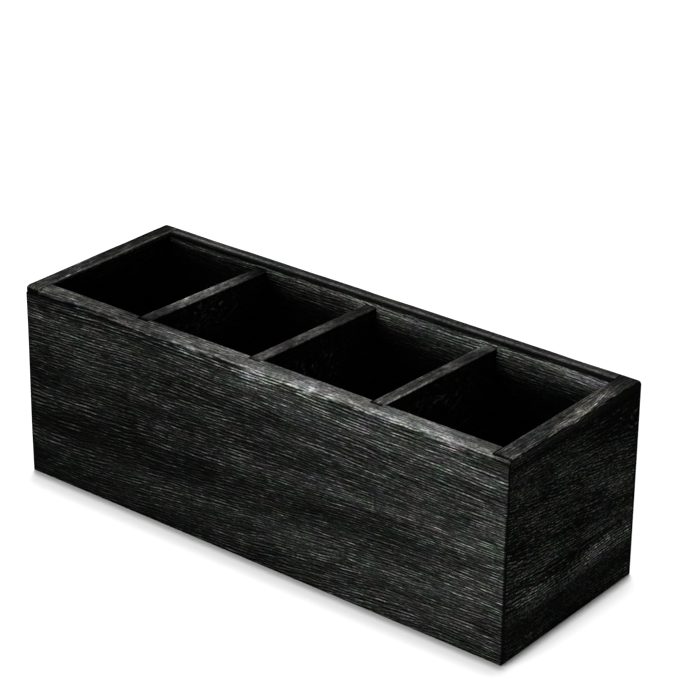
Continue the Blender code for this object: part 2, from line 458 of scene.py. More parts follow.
def draw_in(t, half, pts):
    """The small roundings at the upper and lower corners of a board's end."""
    top = end_inset(t, half, ROUND_END)
    low = end_inset(t, half, EASE_BASE)
    if top:
        pts[:, 1] -= top * np.clip((pts[:, 1] - (HEIGHT - 5)) / 5, 0, 1)
    if low:
        pts[:, 1] += low * np.clip(1 - pts[:, 1] / 4, 0, 1)


def long_shape(profile, worn, stop=None):
    """Returns shape(kind, t, points, cut) for a long panel."""
    base = profile.p
    s = profile.s[:-1]
    seg = profile.seg
    top_index = np.nonzero(seg == ROUND)[0]
    wall = WALL - GROOVE
    if stop:
        # The groove moves the inner face, below its top end
        moved = (seg == INNER) & (base[:, 1] < stop - 0.01)
        first = base[moved, 1].max()
        ratio = (stop - SHELF) / (first - SHELF)
        moved_z = SHELF + (base[moved, 1] - SHELF) * ratio
    else:
        # The groove moves all from the rim beyond its wall, down the inner face
        moved = (base[:, 0] > wall + 1e-9) & np.isin(seg, (RIM, EASE, INNER))
        s_from, s_to = s[moved].min() - 0.3, s[moved].max() + 2.4
        moved_z = HEIGHT - (s[moved] - s_from) / (s_to - s_from) * (HEIGHT - SHELF)
    shelf = (seg == CUTS) & (np.abs(base[:, 1] - SHELF) < 1e-6)
    # Points that a lip moves
    lip_top = HEIGHT - ROUND_LONG + math.sqrt(ROUND_LONG**2 - (ROUND_LONG - LIP) ** 2)
    thin = base[:, 0] > LIP + 1e-9
    l_from, l_to = s[thin].min() - 0.2, s[thin].max() + 0.4

    def shape(kind, t, pts, cut):
        if kind == "groove":
            pts[moved, 0] = wall
            pts[moved, 1] = moved_z
            pts[shelf, 0] = (WALL - RABBET) + (base[shelf, 0] - (WALL - RABBET)) * (
                (RABBET - GROOVE) / RABBET
            )
            cut |= moved
        top_drop = 0.0
        if kind == "lip":
            q = (s[thin] - l_from) / (l_to - l_from)
            top = lip_top
            if worn and t < 0:
                # The lip is worn down in a hollow that ends in a soft step
                k = float(smooth(CHIP_TO + 1.0, CHIP_TO - 0.6, t))
                ripple = 0.10 * math.sin(t * 1.9) + 0.07 * math.sin(t * 4.3 + 1)
                top_drop = k * (CHIP_DROP - 0.2 + ripple)
                arc = top_index
                low = HEIGHT - ROUND_LONG
                z_top = lip_top - top_drop
                # The round edge flattens to a small rounding on the worn top
                a = np.linspace(0, 1, len(arc), endpoint=False)
                small_d = 0.5 - 0.5 * np.cos(a * math.pi / 2)
                small_z = z_top - 0.45 + 0.45 * np.sin(a * math.pi / 2)
                inside = base[arc, 0] <= LIP + 1e-9
                b = base[arc].copy()
                b[:, 0] = b[:, 0] * (1 - k) + (
                    small_d + np.maximum(0, a - 0.5) * 1.2
                ) * k
                b[:, 1] = b[:, 1] * (1 - k) + np.minimum(small_z, z_top) * k
                pts[arc[inside]] = b[inside]
                pts[arc[inside], 0] = np.minimum(pts[arc[inside], 0], LIP)
                face = (seg == OUTER) & (base[:, 1] > 90)
                z_new = z_top - 0.45
                z_end = low * (1 - k) + z_new * k
                pts[face, 1] = 90 + (base[face, 1] - 90) * (z_end - 90) / (low - 90)
                top = lip_top * (1 - k) + z_top * k
            pts[thin, 0] = LIP
            pts[thin, 1] = top - q * top
            cut |= thin
        elif worn and t < 0:
            # The outer part of the rim is broken off raggedly at its left end
            k = float(smooth(-SHOULDER + 1.8, -SHOULDER - 0.3, t))
            up = (pts[:, 1] > HEIGHT - 3.2) & (pts[:, 0] < 4.0)
            sag = 0.9 * k * np.clip(1 - pts[up, 0] / 4.0, 0, 1)
            pts[up, 1] -= sag * (pts[up, 1] - (HEIGHT - 3.2)) / 3.2
        if abs(t) > SHOULDER - 1e-9 or kind == "full":
            draw_in(t, HALF, pts)
        side = end_inset(t, HALF, EASE_CORNER)
        if side:
            pts[:, 0] = np.minimum(
                side + pts[:, 0] * (LIP - side) / LIP, np.maximum(pts[:, 0], side)
            )
        return pts

    return shape


def long_stations(step):
    marks = []
    for n in DIVIDERS:
        marks += [divider_mid[n] - SLOT, divider_mid[n] + SLOT]
    marks += [-SHOULDER, SHOULDER]
    ends = end_steps(-HALF, 1) + end_steps(HALF, -1)
    t = spread_stations(-HALF + 2.6, HALF - 2.6, step, marks, ends)
    t += [x for x in np.arange(-SHOULDER - 2.6, -SHOULDER + 3.0, 0.4)]
    t = sorted(t)
    keep = [t[0]]
    for x in t[1:]:
        if x - keep[-1] > 0.03 or x in marks or x in ends:
            if x in marks and x - keep[-1] < 0.2 and keep[-1] not in marks:
                keep.pop()
            if x not in marks and keep[-1] in marks and x - keep[-1] < 0.2:
                continue
            keep.append(x)
    out = []
    for x in keep:
        inside = any(abs(x - divider_mid[n]) < SLOT - 1e-6 for n in DIVIDERS)
        if x in marks:
            if abs(abs(x) - SHOULDER) < 1e-6:
                pair = ("lip", "full") if x < 0 else ("full", "lip")
            else:
                starts = any(abs(x - (divider_mid[n] - SLOT)) < 1e-6 for n in DIVIDERS)
                pair = ("full", "groove") if starts else ("groove", "full")
            out += [(x, pair[0]), (x, pair[1])]
        elif abs(x) > SHOULDER:
            out.append((x, "lip"))
        else:
            out.append((x, "groove" if inside else "full"))
    return out


# End panels --------------------------------------------------------------------

END_HALF = left_high[1]
STOP = bottom_high[1] + GAP


def end_shape(profile):
    base, seg = profile.p, profile.seg
    shelf = (seg == CUTS) & (np.abs(base[:, 1] - SHELF) < 1e-6)
    side = (seg == CUTS) & ~shelf

    def shape(kind, t, pts, cut):
        if kind == "full":
            q = (WALL - base[shelf, 0]) / RABBET
            pts[shelf, 0] = WALL
            pts[shelf, 1] = SHELF * (1 - q)
            r = (SHELF - base[side, 1]) / SHELF
            pts[side, 0] = WALL - RABBET * r
            pts[side, 1] = 0.0
        # Its top is rubbed down a little where the long panels' lips cover its ends
        top = end_inset(t, END_HALF, 1.3)
        if top:
            pts[:, 1] -= top * np.clip((pts[:, 1] - (HEIGHT - 5)) / 5, 0, 1)
        return pts

    return shape


def end_stations(step):
    ends = [-END_HALF, END_HALF]
    for x in (0.06, 0.2, 0.42, 0.75, 1.1, 1.4):
        ends += [-END_HALF + x, END_HALF - x]
    t = spread_stations(-END_HALF + 2.0, END_HALF - 2.0, step, (), ends)
    # The rabbet stops within the last millimetres, where the stations give way to it
    t = [x for x in t if abs(abs(x) - STOP) > 0.25] + [-STOP, STOP]
    out = []
    for x in sorted(t):
        if abs(abs(x) - STOP) < 1e-9:
            out += (
                [(x, "full"), (x, "rabbet")] if x < 0 else [(x, "rabbet"), (x, "full")]
            )
        else:
            out.append((x, "full" if abs(x) > STOP else "rabbet"))
    return out


# ---------------------------------------------------------------------------
# Relief and stain of each board
# ---------------------------------------------------------------------------
# "stain" is how light the surface is, from 0, black, to 1, the palest fibre; besides the wood's own tone it holds
# painted light and shade where marked below.
# "worn" is 1 where the surface is sanded and rubbed smooth.

# The display value (0 to 255) that a level of 1 comes out at, by where a face looks
FRONT, SIDE, UP = 153.0, 127.0, 169.0


def figure(strength, streak, soft, cloud, band, broad=1.0, light=0.82):
    """A factor of about unit mean for the brushed figure. broad scales its wider changes and light its pale lines."""
    v = strength * (streak + broad * (0.26 * soft + 0.22 * cloud + 0.18 * band))
    v = np.where(v > 0, light * v, 1.12 * v)
    return np.exp(np.clip(v, -2.6, 1.2) - 0.28 * strength**2)


def finish_wall(
    board,
    grain,
    level,
    rim,
    inner,
    edge,
    depth=0.13,
    contrast=0.45,
    ease=0.6,
    calm=0.0,
    broad=1.0,
    light=0.82,
):
    """level(t, z), rim(t, q) and inner(t, z) give the mean lightness of the outer face, of the rim (q is 0 at its inner and 1 at its outer edge) and of the inner face. edge is how light the rounded edge is where it starts, against the rim. The rim's lightness reaches to ease below it on its inner edge. The outer face is rubbed smooth over its top calm millimetres."""
    p = board.profile
    t, s, seg = board.a, board.s, board.seg
    d, z = board.points[..., 0], board.points[..., 1]
    streak, soft, cloud, band = grain(t, s)
    # Degrees over the rounded edge: 0 where it starts, 90 on the rim
    arc = np.nonzero(p.seg == ROUND)[0]
    over = np.degrees(np.arcsin(np.clip(p.n[:, 1], -1, 1)))
    over = np.where(np.isin(p.seg, (RIM, EASE)), 90.0, over)
    below = p.p[arc[0], 1] - p.p[:, 1]
    radius = HEIGHT - p.p[arc[0], 1]
    over = np.where(p.seg == OUTER, -27.0 * below / radius, over)
    ragged = over[None, :] + 9.0 * streak + 7.0 * soft
    outward = np.isin(seg, (OUTER, ROUND, RIM))
    onto = smooth(-9.0, 13.0, ragged) * outward
    worn = smooth(12.0, 55.0, ragged) * outward

    q = np.clip(1 - d / WALL, 0, 1)
    top = rim(t, q)
    if callable(contrast):
        contrast = contrast(t, z)
    inner_contrast = 1.2 * float(np.mean(contrast))
    if callable(edge):
        edge = edge(t)
    slope = edge + (1 - edge) * smooth(4.0, 52.0, ragged)
    quiet = 0.0
    if calm:
        quiet = smooth(calm + 1.0, calm - 1.0, HEIGHT - z + 0.4 * soft) * (seg == OUTER)
        contrast = contrast * (1 - 0.72 * quiet)
    spread = contrast * (1 - 0.6 * smooth(10.0, 60.0, ragged))
    mottle = grain.mottle(t, s)
    bare = level(t, z) * figure(contrast, streak, soft, cloud, band, broad, light)
    rubbed = top * slope * np.exp(
        spread * (0.62 * streak + 0.36 * mottle + 0.45 * soft + 0.25 * cloud)
        - 0.45 * spread**2
    )
    stain = bare * (1 - onto) + rubbed * onto

    # The inner edge and the inner face
    inside = inner(t, z) * figure(inner_contrast, streak, soft, cloud, band)
    lip = top * np.exp(0.16 * streak + 0.1 * soft)
    ease = smooth(HEIGHT - ease - 0.4, HEIGHT - ease, z + 0.10 * streak)
    stain = np.where(seg == EASE, inside * (1 - ease) + lip * ease, stain)
    stain = np.where(seg == INNER, inside, stain)
    worn = np.where(seg == EASE, ease, np.maximum(worn, 0.8 * quiet))
    worn = np.where(np.isin(seg, (INNER, CUTS, BASE)), 0.0, worn)
    stain = np.where(seg == BASE, 0.12, stain)
    stain = np.where(board.relief, stain, 0.06)

    cut = np.clip(0.5 - 0.25 * streak - 0.08 * soft, 0.0, 1.15) * depth
    cut = cut * (1 - 0.8 * worn)
    cut = np.where(np.isin(seg, (INNER, EASE)), cut * 0.55, cut)
    cut = np.where(seg == BASE, 0.0, cut)
    # Little is cut away where a board ends, so the corners keep their line
    cut = cut * (0.3 + 0.7 * smooth(0.0, 5.0, t.max() - np.abs(t)))
    cut = cut * np.where(seg == OUTER, 0.25 + 0.75 * smooth(0.0, 2.5, z), 1.0)
    dents = np.sin(np.radians(np.clip(over, 0, 90) * 2))[None, :]
    dents = dents * np.clip(0.07 + 0.09 * soft + 0.06 * cloud, 0, 0.3)
    cut = cut + np.where(seg == ROUND, dents, 0)
    board.carve(cut)
    return {"stain": np.clip(stain, 0.0, 1.2), "worn": worn}


# ---------------------------------------------------------------------------
# Materials
# ---------------------------------------------------------------------------


def nodes_of(name):
    mat = bpy.data.materials.new(name)
    mat.use_nodes = True
    tree = mat.node_tree
    tree.nodes.clear()
    out = tree.nodes.new("ShaderNodeOutputMaterial")
    bsdf = tree.nodes.new("ShaderNodeBsdfPrincipled")
    tree.links.new(bsdf.outputs[0], out.inputs[0])
    return mat, tree, bsdf


def math_node(tree, op, a, b=None, c=None, clamp=False):
    node = tree.nodes.new("ShaderNodeMath")
    node.operation = op
    node.use_clamp = clamp
    for i, v in enumerate((a, b, c)):
        if v is None:
            continue
        if isinstance(v, (int, float)):
            node.inputs[i].default_value = v
        else:
            tree.links.new(v, node.inputs[i])
    return node.outputs[0]


def noise(tree, coords, scale, detail=2.0, rough=0.5, turn=(0, 0, 0), shift=(0, 0, 0)):
    """Noise stretched along the grain; scale is in cycles per millimetre."""
    mapping = tree.nodes.new("ShaderNodeMapping")
    mapping.inputs["Scale"].default_value = [x / MM for x in scale]
    mapping.inputs["Rotation"].default_value = turn
    mapping.inputs["Location"].default_value = shift
    tree.links.new(coords, mapping.inputs["Vector"])
    node = tree.nodes.new("ShaderNodeTexNoise")
    node.inputs["Scale"].default_value = 1.0
    node.inputs["Detail"].default_value = detail
    node.inputs["Roughness"].default_value = rough
    tree.links.new(mapping.outputs[0], node.inputs["Vector"])
    return node.outputs["Fac"]


def turned(tree, coords, scale, angle, shift):
    """Noise stretched along a direction turned about the x axis; scale is in cycles per millimetre."""
    mapping = tree.nodes.new("ShaderNodeMapping")
    mapping.vector_type = "TEXTURE"
    mapping.inputs["Scale"].default_value = [MM / x for x in scale]
    mapping.inputs["Rotation"].default_value = (angle, 0, 0)
    mapping.inputs["Location"].default_value = shift
    tree.links.new(coords, mapping.inputs["Vector"])
    node = tree.nodes.new("ShaderNodeTexNoise")
    node.inputs["Scale"].default_value = 1.0
    node.inputs["Detail"].default_value = 0.0
    tree.links.new(mapping.outputs[0], node.inputs["Vector"])
    return node.outputs["Fac"]


def scuffs(tree, coords, amount):
    """Thin scratches every which way, as light as amount where they are deepest."""
    total = 0.0
    for i, (angle, along, across) in enumerate(
        ((0.42, 0.05, 0.42), (0.85, 0.065, 0.50), (-0.45, 0.07, 0.46))
    ):
        line = turned(tree, coords, (0.3, along, across), angle, (0.0, 0.013 * i, 0.0))
        line = math_node(tree, "ABSOLUTE", math_node(tree, "SUBTRACT", line, 0.5))
        line = math_node(tree, "MULTIPLY_ADD", line, -15.0, 1.0, clamp=True)
        broken = noise(tree, coords, (0.3, 0.2, 0.2), 1.0, 0.5, shift=(i, 2 * i, 0))
        broken = math_node(tree, "MULTIPLY_ADD", broken, 6.0, -2.8, clamp=True)
        line = math_node(tree, "MULTIPLY", line, broken)
        total = math_node(tree, "MAXIMUM", line, total)
    return math_node(tree, "MULTIPLY", total, amount)


def wood(
    name,
    along,
    shift,
    gloss=0.002,
    tint=(0.935, 1.0, 0.915),
    plain=None,
    cast=0.8,
    neutral=(0.062, 0.0, 0.045),
    scuffed=False,
    flecks=2.8,
):
    """Black-stained wood whose grain runs along one axis. plain gives an even lightness instead of the boards' own. cast is how far the stain wanders between green and brown, and neutral is added to the tint where it is rubbed off."""
    mat, tree, bsdf = nodes_of(name)
    n, l = tree.nodes, tree.links
    coords = n.new("ShaderNodeTexCoord").outputs["Object"]

    def scale(a, b):
        return [a if i == along else b for i in range(3)]

    def about_one(value, strength, floor=0.15):
        factor = math_node(tree, "MULTIPLY_ADD", value, strength, 1 - strength / 2)
        return math_node(tree, "MAXIMUM", factor, floor)

    fibre = noise(tree, coords, scale(0.11, 1.35), 3.0, 0.6, shift=shift)
    hair = noise(tree, coords, scale(0.4, 4.0), 2.0, 0.5, shift=shift)
    fleck = noise(tree, coords, scale(0.62, 1.15), 3.0, 0.62, shift=shift)
    if plain is None:
        stain = n.new("ShaderNodeAttribute")
        stain.attribute_name = "stain"
        worn = n.new("ShaderNodeAttribute")
        worn.attribute_name = "worn"
        stain, worn = stain.outputs["Fac"], worn.outputs["Fac"]
        bare = math_node(tree, "SUBTRACT", 1.0, worn)
    else:
        line = noise(tree, coords, scale(0.05, 0.5), 3.0, 0.6, shift=shift)
        stain = math_node(tree, "MULTIPLY", about_one(line, 3.0), plain)
        worn, bare = 0.0, 1.0
    # Finer fibres than the relief holds, weaker where the wood is rubbed smooth
    a = about_one(fibre, 2.0)
    b = about_one(hair, 1.6)
    c = about_one(fleck, flecks)
    rough_cut = math_node(tree, "MULTIPLY", math_node(tree, "MULTIPLY", a, b), c)
    rubbed = math_node(
        tree, "MULTIPLY", about_one(fibre, 0.9), about_one(fleck, 1.8)
    )
    level = math_node(
        tree,
        "ADD",
        math_node(tree, "MULTIPLY", rough_cut, bare),
        math_node(tree, "MULTIPLY", rubbed, worn),
    )
    level = math_node(tree, "MAXIMUM", math_node(tree, "MULTIPLY", level, stain), 0.0)
    if scuffed:
        scuff = n.new("ShaderNodeAttribute")
        scuff.attribute_name = "scuff"
        marks = scuffs(tree, coords, scuff.outputs["Fac"])
        level = math_node(tree, "MAXIMUM", level, marks)
    level = math_node(tree, "MINIMUM", level, 1.25)
    value = math_node(
        tree, "MULTIPLY_ADD", math_node(tree, "POWER", level, 2.2), 0.30, 0.0012
    )
    # The stain's cast is uneven, and more neutral where it is rubbed off
    colour = n.new("ShaderNodeCombineColor")
    blotch = noise(tree, coords, scale(0.07, 0.12), 3.0, 0.6, shift=(4.0, 1.0, 2.0))
    tinge = noise(tree, coords, scale(0.06, 0.1), 2.0, 0.5, shift=(1.0, 7.0, 3.0))
    blotch = math_node(tree, "SUBTRACT", blotch, 0.5)
    swing = math_node(tree, "MULTIPLY_ADD", worn, -0.55 * cast, cast)
    blotch = math_node(tree, "MULTIPLY_ADD", blotch, swing, 1.0)
    for i, more in enumerate(neutral):
        part = math_node(tree, "MULTIPLY_ADD", worn, more, tint[i])
        if i != 1:
            part = math_node(tree, "MULTIPLY", part, blotch)
            part = math_node(
                tree, "MULTIPLY", part, about_one(tinge, cast * (0.3, 0, -0.3)[i])
            )
        l.new(math_node(tree, "MULTIPLY", value, part), colour.inputs[i])
    l.new(colour.outputs[0], bsdf.inputs["Base Color"])

    # Roughness: matt in the brushed grain, a little smoother where rubbed
    rough = math_node(tree, "MULTIPLY_ADD", fleck, 0.18, 0.68)
    rough = math_node(
        tree, "SUBTRACT", rough, math_node(tree, "MULTIPLY", worn, 0.16), clamp=True
    )
    l.new(rough, bsdf.inputs["Roughness"])
    bsdf.inputs["Specular IOR Level"].default_value = gloss

    # Bump: the finest fibres and pores
    height = math_node(tree, "ADD", fibre, math_node(tree, "MULTIPLY", hair, 0.6))
    height = math_node(
        tree, "MULTIPLY", height, math_node(tree, "MULTIPLY_ADD", bare, 0.75, 0.25)
    )
    bump = n.new("ShaderNodeBump")
    bump.inputs["Strength"].default_value = 0.5
    bump.inputs["Distance"].default_value = 0.12 * MM
    l.new(height, bump.inputs["Height"])
    l.new(bump.outputs[0], bsdf.inputs["Normal"])
    return mat


def end_grain(name, gloss=0.002):
    """The cut ends of the boards: dark, with fine pores."""
    mat, tree, bsdf = nodes_of(name)
    l = tree.links
    coords = tree.nodes.new("ShaderNodeTexCoord").outputs["Object"]
    pores = noise(tree, coords, (2.2, 2.2, 3.2), 3.0, 0.6)
    bands = noise(tree, coords, (0.35, 0.35, 1.1), 2.0, 0.5)
    level = math_node(
        tree,
        "MULTIPLY",
        math_node(tree, "MULTIPLY_ADD", pores, 0.9, 0.05),
        math_node(tree, "MULTIPLY_ADD", bands, 0.5, 0.05),
    )
    value = math_node(
        tree, "MULTIPLY_ADD", math_node(tree, "POWER", level, 2.0), 0.09, 0.0009
    )
    colour = tree.nodes.new("ShaderNodeCombineColor")
    for i, t in enumerate((0.94, 1.0, 0.92)):
        l.new(math_node(tree, "MULTIPLY", value, t), colour.inputs[i])
    l.new(colour.outputs[0], bsdf.inputs["Base Color"])
    rough = math_node(tree, "MULTIPLY_ADD", pores, 0.2, 0.7)
    l.new(rough, bsdf.inputs["Roughness"])
    bsdf.inputs["Specular IOR Level"].default_value = gloss
    bump = tree.nodes.new("ShaderNodeBump")
    bump.inputs["Strength"].default_value = 0.5
    bump.inputs["Distance"].default_value = 0.15 * MM
    l.new(pores, bump.inputs["Height"])
    l.new(bump.outputs[0], bsdf.inputs["Normal"])
    return mat


def steel(name):
    """Dull drawn steel."""
    mat, tree, bsdf = nodes_of(name)
    l = tree.links
    coords = tree.nodes.new("ShaderNodeTexCoord").outputs["Object"]
    drawn = noise(tree, coords, (6.0, 6.0, 0.5), 3.0, 0.6)
    spots = noise(tree, coords, (1.6, 1.6, 1.6), 3.0, 0.6)
    ramp = tree.nodes.new("ShaderNodeValToRGB")
    ramp.color_ramp.elements[0].position = 0.35
    ramp.color_ramp.elements[0].color = (0.21, 0.20, 0.19, 1)
    ramp.color_ramp.elements[1].position = 0.7
    ramp.color_ramp.elements[1].color = (0.46, 0.46, 0.45, 1)
    l.new(spots, ramp.inputs[0])
    l.new(ramp.outputs[0], bsdf.inputs["Base Color"])
    bsdf.inputs["Metallic"].default_value = 1.0
    rough = math_node(tree, "MULTIPLY_ADD", drawn, 0.3, 0.25)
    l.new(rough, bsdf.inputs["Roughness"])
    bump = tree.nodes.new("ShaderNodeBump")
    bump.inputs["Strength"].default_value = 0.4
    bump.inputs["Distance"].default_value = 0.03 * MM
    l.new(drawn, bump.inputs["Height"])
    l.new(bump.outputs[0], bsdf.inputs["Normal"])
    return mat


wood_long = wood("stained_wood_long", 0, (0.0, 0.0, 0.0), cast=0.95, flecks=1.9)
wood_end = wood(
    "stained_wood_end",
    1,
    (3.1, 0.7, 5.3),
    tint=(0.90, 1.0, 0.87),
    cast=1.2,
    neutral=(0.11, 0.0, 0.065),
    flecks=3.7,
)
wood_cross = wood(
    "stained_wood_cross",
    1,
    (7.9, 2.3, 1.7),
    cast=0.6,
    neutral=(0.085, 0.0, 0.05),
    scuffed=True,
)
wood_base = wood("stained_wood_base", 0, (1.3, 4.1, 8.2), plain=0.13)
wood_cut = end_grain("stained_end_grain")
brad_steel = steel("brad_steel_dull")


def dress(ob, materials, node):
    for m in materials:
        ob.data.materials.append(m)
    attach(ob, "root")
    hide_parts(node)
    return ob


# ---------------------------------------------------------------------------
# The boards
# ---------------------------------------------------------------------------

def bump(x, middle, wide):
    return np.exp(-(((x - middle) / wide) ** 2))


# Front panel: palest along the top and towards the right, partly the wood's own tone and partly painted light
front_profile = wall_profile(WALL, ROUND_LONG, 0.315, 12, near=(0.6, 1.0), inner=0.5)


def front_place(t, d, z):
    # The worn corner and the edge below it draw the lip's left end in
    drawn = 1.15 * smooth(12.0, 92.0, z) * np.clip((-135.0 - t) / 6.0, 0, 1)
    return np.stack((t + drawn, Y0 + d, z), -1)


def front_level(t, z):
    u = (t - X0) / (X1 - X0)
    d = HEIGHT - z
    # The pale band along the top and the paling to the right are partly painted light
    tone = 21 + 28 * u**1.6 + (10 + 10 * smooth(0.05, 0.5, u)) * bump(d, 9, 8)
    tone = tone - (6 - 3 * u) * bump(d, 24 - 4 * u, 5)
    tone = tone - (6 - 1 * u) * bump(d, 66 - 12 * u, 6)
    tone = tone + 12 * bump(d, 45, 6) * u + 5 * bump(d, 77, 4) * (1 - 0.3 * u)
    tone = tone + smooth(0.34, 0.08, u) * (20 * bump(d, 13, 6) + 7 * bump(d, 25, 6))
    tone = tone + 18 * smooth(0.38, 0.15, u) * bump(d, 4.8, 1.7)
    tone = tone - 16 * smooth(0.8, 0.95, u) * bump(d, 5.5, 2.5)
    tone = tone - 14 * (smooth(0.52, 0.44, u) + bump(u, 0.96, 0.06)) * bump(d, 8, 2.4)
    tone = tone - 5 * bump(d, 41, 4) * smooth(0.95, 0.7, u)
    tone = tone - 9 * bump(u, 0.8, 0.13) * bump(d, 34, 5)
    tone = tone + 8 * bump(d, 56, 5) * (1 - 0.6 * u) + 5 * bump(u, 0.3, 0.15) * bump(d, 48, 4)
    tone = tone + 4 * bump(d, 63, 5) + 9 * bump(u, 0.8, 0.14) * bump(d, 73, 8)
    tone = tone + 5 * bump(d, 26, 5) + 3 * (1 - u) * bump(d, 36, 6)
    tone = tone + 6 * u**4 * bump(d, 34, 5) - 3 * (1 - u) * bump(d, 70, 5)
    tone = tone - 3 * smooth(0.45, 0.7, u) * bump(d, 58, 6)
    tone = tone - 8 * bump(u, 0.42, 0.2) * bump(d, 5, 1.6)
    tone = tone + 6 * bump(u, 0.75, 0.06) * bump(d, 82, 7) + 5 * bump(u, 0.42, 0.07) * bump(d, 75, 6)
    tone = tone - 6 * bump(u, 0.6, 0.13) * bump(d, 64, 5) + 5 * bump(u, 0.65, 0.2) * bump(d, 15, 4)
    tone = tone - 6 * bump(u, 0.38, 0.17) * bump(d, 94, 4)
    # Painted shade darkens both upright corners
    tone = tone * (1 - 0.6 * smooth(1.4, 0.2, t - X0))
    tone = tone * (1 - 0.6 * smooth(0.8, 0.1, X1 - t) * smooth(18, 34, d))
    return tone / FRONT


def front_rim(t, q):
    u = (t - X0) / (X1 - X0)
    tone = 68 + 22 * smooth(0.25, 0.45, u) - 18 * smooth(0.85, 1.0, u)
    tone = tone - 24 * bump(u, 0.25, 0.05)
    # Lighter towards the rounded outer edge over the right half: a painted highlight along that edge
    tone = tone + (5 + 46 * smooth(0.42, 0.72, u)) * smooth(0.45, 0.85, q)
    tone = tone - 20 * smooth(0.34, 0.12, u) * smooth(0.6, 1.0, q)
    tone = tone + 18 * bump(u, 0.15, 0.05) * smooth(0.7, 0.3, q)
    tone = tone + 22 * bump(u, 0.25, 0.05) * smooth(0.75, 0.95, q)
    tone = tone - 14 * bump(u, 0.40, 0.09) * smooth(0.4, 0.8, q)
    tone = tone - 18 * bump(u, 0.75, 0.05) * smooth(1.0, 0.75, q)
    tone = tone - 12 * smooth(0.88, 1.0, u) * smooth(0.5, 0.9, q)
    tone = tone + 9 * bump(t, CHIP_TO + 5.0, 4.5)
    tone = tone + 16 * bump(u, 0.11, 0.04) * smooth(0.6, 0.85, q) - 9 * bump(u, 0.54, 0.06)
    tone = tone - 24 * bump(u, 0.035, 0.03) * smooth(0.5, 0.2, q)
    tone = tone + 12 * bump(u, 0.107, 0.035) * smooth(0.3, 0.5, q)
    tone = tone + bump(u, 0.18, 0.035) * (16 * smooth(0.45, 0.2, q) - 13 * smooth(0.7, 0.9, q))
    tone = tone - 17 * bump(u, 0.32, 0.035) * bump(q, 0.62, 0.15)
    tone = tone - 24 * bump(u, 0.395, 0.04) * smooth(0.95, 0.75, q)
    tone = tone + 17 * bump(u, 0.465, 0.035) * smooth(0.7, 0.85, q)
    tone = tone + 15 * bump(u, 0.545, 0.04) * smooth(0.35, 0.55, q)
    tone = tone + 16 * bump(u, 0.645, 0.06) * bump(q, 0.52, 0.16)
    tone = tone - bump(u, 0.75, 0.035) * (20 * smooth(0.25, 0.05, q) + 12 * smooth(0.65, 0.85, q))
    tone = tone - 14 * bump(u, 0.9, 0.04) + 22 * bump(u, 0.965, 0.03) * smooth(0.7, 0.88, q)
    # Painted shade darkens the lips below the end panels' tops, most of all in the worn hollow at the left end
    tone = tone * (1 - 0.86 * smooth(CHIP_TO + 1.0, CHIP_TO - 0.2, t))
    tone = tone * (1 - 0.4 * smooth(SHOULDER - 0.4, SHOULDER + 1.0, t))
    return tone / UP


def front_drift(a, s):
    return -0.105 * smooth(80.0, 15.0, s) * 110.0 * np.tanh(a / 110.0)


def front_contrast(t, z):
    # Crispest along its top, most of all at the left
    left = smooth(40.0, -120.0, t)
    return 0.63 + 0.09 * smooth(20.0, 45.0, z) + 0.36 * left * smooth(30.0, 85.0, z)


# Lighter near the rim and darker deeper down: painted shade inside the compartments
def inner_level(near, deep, reach):
    def level(t, z):
        return (deep + (near - deep) * np.exp(-(HEIGHT - z) / reach)) / FRONT

    return level


front = Board(
    "front_board",
    front_profile,
    long_stations(1.4),
    long_shape(front_profile, True),
    front_place,
)
grain = Grain(
    11,
    X1 - X0,
    front_profile.length,
    1.0,
    front_drift,
    lambda s: 1.0 + 1.1 * smooth(66.0, 82.0, s),
)
values = finish_wall(
    front,
    grain,
    front_level,
    front_rim,
    inner_level(16, 10, 12.0),
    lambda t: 0.42 + 0.16 * bump(t, -45.0, 40.0),
    contrast=front_contrast,
    broad=0.55,
)
dress(front.build(values), (wood_long, wood_cut), "front_panel")

# Back panel
back_profile = wall_profile(
    WALL, ROUND_LONG, 0.34, 10, stop=GROOVE_TOP, near=(0.36, 0.6)
)
back = Board(
    "back_board",
    back_profile,
    long_stations(1.4),
    long_shape(back_profile, False, GROOVE_TOP),
    lambda t, d, z: np.stack((t, Y1 - d, z), -1),
)


def back_level(t, z):
    u = (X1 - t) / (X1 - X0)
    d = HEIGHT - z
    tone = 26 + 12 * u + 14 * bump(d, 9, 9) - 6 * bump(d, 30 + 8 * u, 6)
    tone = tone - 6 * bump(d, 70, 7) + 5 * bump(d, 52, 6)
    return tone / FRONT


def back_rim(t, q):
    # A pale line runs along its middle; the inner edge is dark
    tone = 45 + 38 * bump(q, 0.33, 0.10) - 30 * smooth(0.2, 0.1, q)
    return tone / UP


def back_inner(t, z):
    d = HEIGHT - z
    u = (t - X0) / (X1 - X0)
    # Darker deeper below the rim: painted shade inside the compartment
    tone = 9 + 30 * bump(d, 3.0, 1.1) + 16 * np.exp(-d / 9.0)
    # Paler below the rim towards the right, partly brushed and partly painted light where the right compartments are
    # more lit
    tone = tone + 85 * smooth(0.14, 0.45, u) * np.exp(-((d / 11.0) ** 2))
    # A painted shadow just below the rim's inner edge
    tone = tone * (1 - 0.75 * smooth(1.9, 1.2, d))
    return tone / FRONT


grain = Grain(31, X1 - X0, back_profile.length, 1.0, lambda a, s: -0.03 * a)
values = finish_wall(back, grain, back_level, back_rim, back_inner, 0.7, ease=0.25)
dress(back.build(values), (wood_long, wood_cut), "back_panel")

# End panels
end_profile = wall_profile(WALL, ROUND_END, 0.31, 8, near=(0.45, 0.8))


